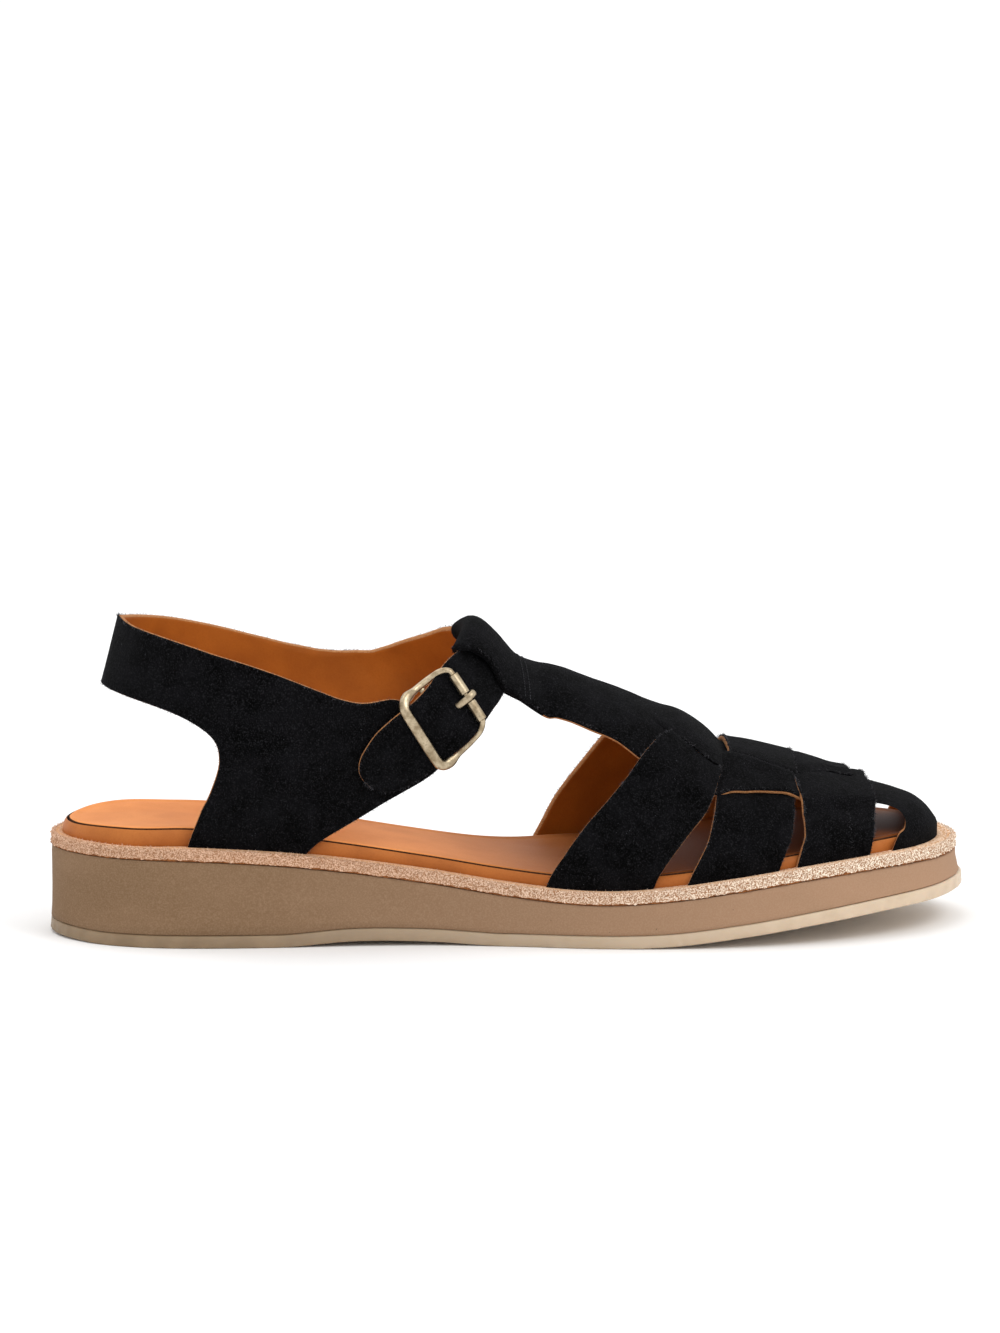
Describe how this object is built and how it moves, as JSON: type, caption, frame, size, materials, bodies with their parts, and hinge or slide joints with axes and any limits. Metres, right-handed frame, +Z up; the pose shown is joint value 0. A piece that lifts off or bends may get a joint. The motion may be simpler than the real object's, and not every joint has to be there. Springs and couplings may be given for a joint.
{
  "type": "fisherman sandal",
  "caption": "Right woven fisherman sandal in black suede with a tan lining, an ankle strap with a centre-bar buckle and a flat wedge sole.",
  "frame": {"origin": "centre of the sole's outline, on the floor", "axes": "+X towards the toe, +Z up, -Y towards the outer side of the foot"},
  "size_m": [0.27, 0.0973, 0.0936],
  "materials": {
    "outsole": "satin honey crepe",
    "midsole": "matt taupe foam rubber",
    "welt": "raw fibrous edge",
    "footbed": "satin tan",
    "sock": "satin tan",
    "upper": "black suede, tan lining",
    "quarter": "black suede, tan lining",
    "buckle": "antique satin"
  },
  "bodies": {
    "root": {"outsole": "outsole", "midsole": "midsole", "welt": "welt", "footbed": "footbed", "sock": "sock", "upper": "upper", "quarter": "quarter", "buckle_frame": "buckle", "buckle_prong": "buckle"}
  },
  "joints": []
}
